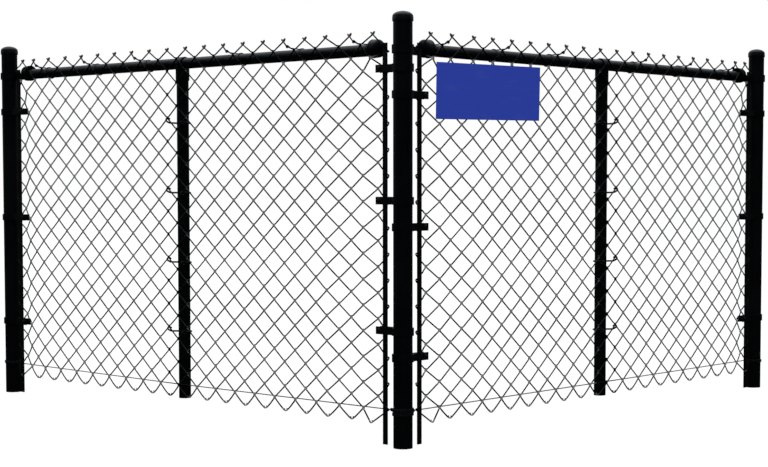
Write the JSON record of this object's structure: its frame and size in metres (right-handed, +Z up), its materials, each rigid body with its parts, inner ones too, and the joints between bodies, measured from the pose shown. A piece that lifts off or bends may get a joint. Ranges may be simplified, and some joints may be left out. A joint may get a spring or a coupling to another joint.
{
  "type": "chain link fence corner panel",
  "caption": "Corner of a black coated chain link fence: two woven wire runs with top rails, tension bars and bands, capped posts and a bare sign plate.",
  "frame": {"origin": "centre of the flat foot of the corner post, at ground level", "axes": "+Z up along the corner post, right run along +X and seen from -Y, left run along +Y and seen from -X"},
  "size_m": [2.1416, 2.1416, 1.3466],
  "materials": {
    "coated_steel": "satin black powder coat",
    "coated_wire": "satin black coated wire"
  },
  "bodies": {
    "root": {"corner_post": "coated_steel", "corner_post_cap": "coated_steel", "left_corner_rail_end": "coated_steel", "left_corner_tension_band_1": "coated_steel", "left_corner_tension_band_2": "coated_steel", "left_corner_tension_band_3": "coated_steel", "left_corner_tension_bar": "coated_steel", "left_end_post": "coated_steel", "left_end_post_cap": "coated_steel", "left_far_brace_band": "coated_steel", "left_far_fabric": "coated_wire", "left_far_rail_end": "coated_steel", "left_far_tension_band_1": "coated_steel", "left_far_tension_band_2": "coated_steel", "left_far_tension_band_3": "coated_steel", "left_far_tension_bar": "coated_steel", "left_line_post": "coated_steel", "left_line_post_ties": "coated_wire", "left_loop_cap": "coated_steel", "left_near_fabric": "coated_wire", "left_rail_ties": "coated_wire", "left_tension_wire": "coated_wire", "left_top_rail": "coated_steel", "right_corner_brace_band": "coated_steel", "right_corner_rail_end": "coated_steel", "right_corner_tension_band_1": "coated_steel", "right_corner_tension_band_2": "coated_steel", "right_corner_tension_band_3": "coated_steel", "right_corner_tension_bar": "coated_steel", "right_end_post": "coated_steel", "right_end_post_cap": "coated_steel", "right_far_brace_band": "coated_steel", "right_far_fabric": "coated_wire", "right_far_rail_end": "coated_steel", "right_far_tension_band_1": "coated_steel", "right_far_tension_band_2": "coated_steel", "right_far_tension_band_3": "coated_steel", "right_far_tension_bar": "coated_steel", "right_line_post": "coated_steel", "right_line_post_ties": "coated_wire", "right_loop_cap": "coated_steel", "right_near_fabric": "coated_wire", "right_rail_ties": "coated_wire", "right_tension_wire": "coated_wire", "right_top_rail": "coated_steel"}
  },
  "joints": []
}
